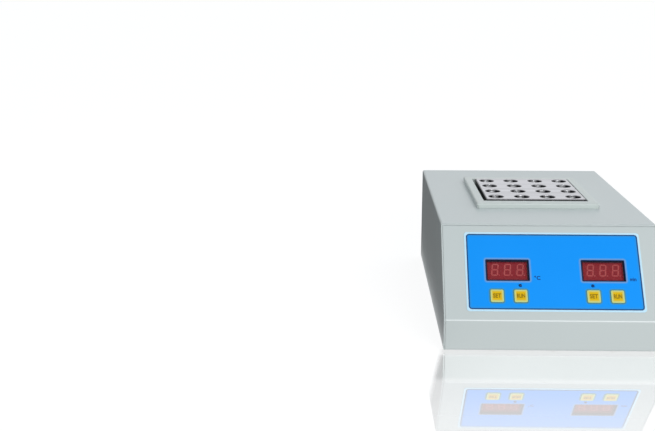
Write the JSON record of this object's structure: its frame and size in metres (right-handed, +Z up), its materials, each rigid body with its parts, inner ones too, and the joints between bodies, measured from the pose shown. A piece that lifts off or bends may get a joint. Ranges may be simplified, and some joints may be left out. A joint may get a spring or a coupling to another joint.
{
  "type": "chemical oxygen demand reactor",
  "caption": "Bench digestion reactor: drilled aluminium heating block for test vials in a sloping-front steel case with displays, keys, power switch and mains inlet.",
  "frame": {"origin": "on the table, under the middle of the case", "axes": "+Z up, +X to the operator's right, +Y to the rear; the sloping panel faces -Y"},
  "size_m": [0.22, 0.346, 0.1215],
  "materials": {
    "case_paint": "satin paint, fine texture",
    "collar_paint": "satin paint",
    "zinc_steel": "satin zinc plate",
    "block_aluminium": "machined, satin",
    "heater_sheath": "satin drawn tube",
    "black_plastic": "matte, moulded",
    "insulation_fibre": "matte fibre board",
    "ceramic": "gloss glaze",
    "plated_screws": "polished nickel plate",
    "overlay_film": "satin printed film",
    "red_filter": "polished, clear red",
    "module_plastic": "matte, moulded",
    "key_plastic": "gloss, moulded",
    "lamp_lens": "gloss lens, unlit",
    "circuit_board": "satin solder mask",
    "relay_plastic": "satin, moulded",
    "terminal_plastic": "matte, moulded",
    "capacitor_sleeve": "gloss shrink sleeve",
    "sink_aluminium": "matte black anodised",
    "core_steel": "satin varnish",
    "coil_tape": "gloss tape, wound",
    "fuse_glass": "polished tube",
    "rocker_plastic": "gloss, moulded",
    "foot_rubber": "matte, moulded",
    "ribbon_sleeve": "satin ribbon"
  },
  "bodies": {
    "housing": {"base_tray": "zinc_steel", "block_screws": "plated_screws", "block_spacers": "ceramic", "board_standoffs": "plated_screws", "buzzer": "black_plastic", "capacitors": "capacitor_sleeve", "cartridge_heaters": "heater_sheath", "case_screws": "plated_screws", "chassis_screws": "plated_screws", "collar": "collar_paint", "control_board": "circuit_board", "cover": "case_paint", "cutout_screws": "plated_screws", "display_board": "circuit_board", "display_spacers": "plated_screws", "foot_front_left": "foot_rubber", "foot_front_right": "foot_rubber", "foot_rear_left": "foot_rubber", "foot_rear_right": "foot_rubber", "foot_screws": "plated_screws", "front_panel": "case_paint", "heat_sink": "sink_aluminium", "heating_block": "block_aluminium", "indicator_lamp_left": "lamp_lens", "indicator_lamp_right": "lamp_lens", "inlet_blades": "plated_screws", "inlet_body": "black_plastic", "inlet_screws": "plated_screws", "insulation_base": "insulation_fibre", "insulation_case": "zinc_steel", "insulation_sleeve": "insulation_fibre", "key_switches": "black_plastic", "led_module_left": "module_plastic", "led_module_right": "module_plastic", "nuts": "plated_screws", "panel_overlay": "overlay_film", "processor": "black_plastic", "rear_panel": "case_paint", "relay": "relay_plastic", "ribbon_cable": "ribbon_sleeve", "ribbon_headers": "black_plastic", "switch_housing": "black_plastic", "switch_terminals": "plated_screws", "temperature_sensor": "heater_sheath", "terminal_block": "terminal_plastic", "thermal_cutout": "black_plastic", "transformer_coil": "coil_tape", "transformer_core": "core_steel", "triac": "black_plastic", "window_left": "red_filter", "window_right": "red_filter"},
    "key_1": {"key_1": "key_plastic"},
    "key_2": {"key_2": "key_plastic"},
    "key_3": {"key_3": "key_plastic"},
    "key_4": {"key_4": "key_plastic"},
    "power_rocker": {"switch_rocker": "rocker_plastic"},
    "fuse_carrier": {"fuse_drawer": "black_plastic", "fuse": "fuse_glass"}
  },
  "joints": [
    {"name": "key_1_press", "type": "slide", "parent": "housing", "child": "key_1", "axis": [0, 0.79, -0.6131], "range_m": [0, 0.0005], "stiffness_N_per_m": 1500, "springref_m": -0.0005},
    {"name": "key_2_press", "type": "slide", "parent": "housing", "child": "key_2", "axis": [0, 0.79, -0.6131], "range_m": [0, 0.0005], "stiffness_N_per_m": 1500, "springref_m": -0.0005},
    {"name": "key_3_press", "type": "slide", "parent": "housing", "child": "key_3", "axis": [0, 0.79, -0.6131], "range_m": [0, 0.0005], "stiffness_N_per_m": 1500, "springref_m": -0.0005},
    {"name": "key_4_press", "type": "slide", "parent": "housing", "child": "key_4", "axis": [0, 0.79, -0.6131], "range_m": [0, 0.0005], "stiffness_N_per_m": 1500, "springref_m": -0.0005},
    {"name": "power_rocker_tilt", "type": "hinge", "parent": "housing", "child": "power_rocker", "pos_m": [-0.018, 0.1673, 0.042], "axis": [1, 0, 0], "range_deg": [0, 18]},
    {"name": "fuse_drawer_slide", "type": "slide", "parent": "housing", "child": "fuse_carrier", "axis": [0, 1, 0], "range_m": [0, 0.018]}
  ]
}
